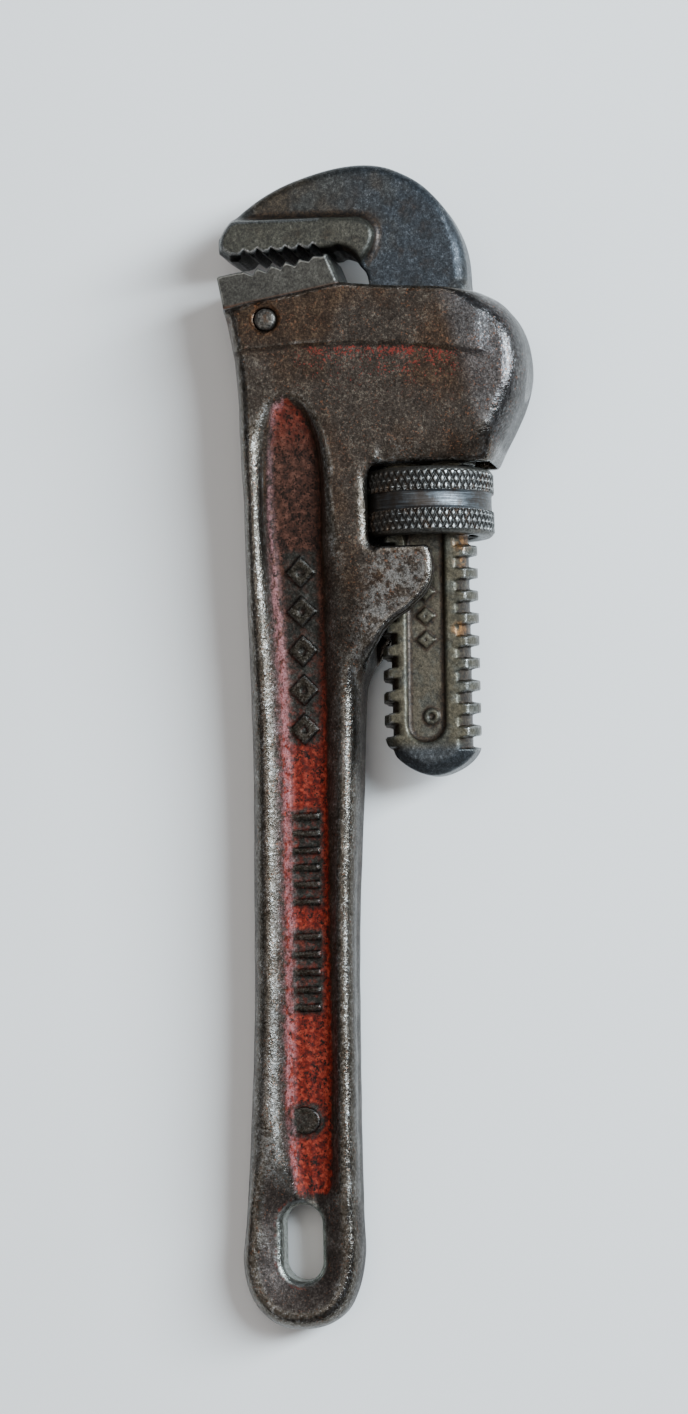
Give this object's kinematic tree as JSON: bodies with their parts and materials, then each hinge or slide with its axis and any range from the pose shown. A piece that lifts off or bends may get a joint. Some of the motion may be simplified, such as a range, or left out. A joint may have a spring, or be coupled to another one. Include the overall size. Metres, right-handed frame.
{
  "type": "pipe wrench",
  "caption": "Straight pipe wrench with a floating hook jaw, knurled adjusting nut, pinned heel jaw and a ribbed handle with a hang hole.",
  "frame": {"origin": "middle of the wrench's outline with the jaws closed, on the plane that touches the underside of the adjusting nut", "axes": "+Y along the hook jaw's shank towards the hook, +X towards the open side of the nut window, +Z square to the wrench's flat sides"},
  "size_m": [0.0456, 0.1705, 0.0195],
  "materials": {
    "housing_iron": "worn bare cast iron, dark grey-brown, with worn red paint left in the handle recess",
    "hook_steel": "blackened drop-forged steel, worn",
    "heel_steel": "machined steel, grey-blue, worn teeth",
    "pin_steel": "dull steel with a rust ring",
    "nut_steel": "dark knurled steel, polished on the crests",
    "spring_steel": "oiled spring steel"
  },
  "bodies": {
    "housing": {"handle_housing": "housing_iron", "heel_jaw": "heel_steel", "heel_jaw_pin": "pin_steel", "coil_spring": "spring_steel"},
    "jaw_float": {"flat_spring": "spring_steel", "spring_rivet": "pin_steel"},
    "hook": {"hook_jaw": "hook_steel"},
    "nut": {"adjusting_nut": "nut_steel"}
  },
  "joints": [
    {"name": "jaw_rock", "type": "hinge", "parent": "housing", "child": "jaw_float", "pos_m": [0.007, 0.0347, 0.00975], "axis": [0, 0, 1], "range_deg": [-1.5, 0], "stiffness_Nm_per_rad": 6, "springref_deg": 1.15, "deforming": ["coil_spring"]},
    {"name": "hook_jaw_slide", "type": "slide", "parent": "jaw_float", "child": "hook", "axis": [0, 1, 0], "range_m": [0, 0.033]},
    {"name": "nut_turn", "type": "hinge", "parent": "jaw_float", "child": "nut", "pos_m": [0.007, 0.0347, 0.00975], "axis": [0, -1, 0], "range_deg": [0, 3601]}
  ],
  "couplings": [
    {"joint": "nut_turn", "follows": "hook_jaw_slide", "rad_per_m": 1904}
  ]
}
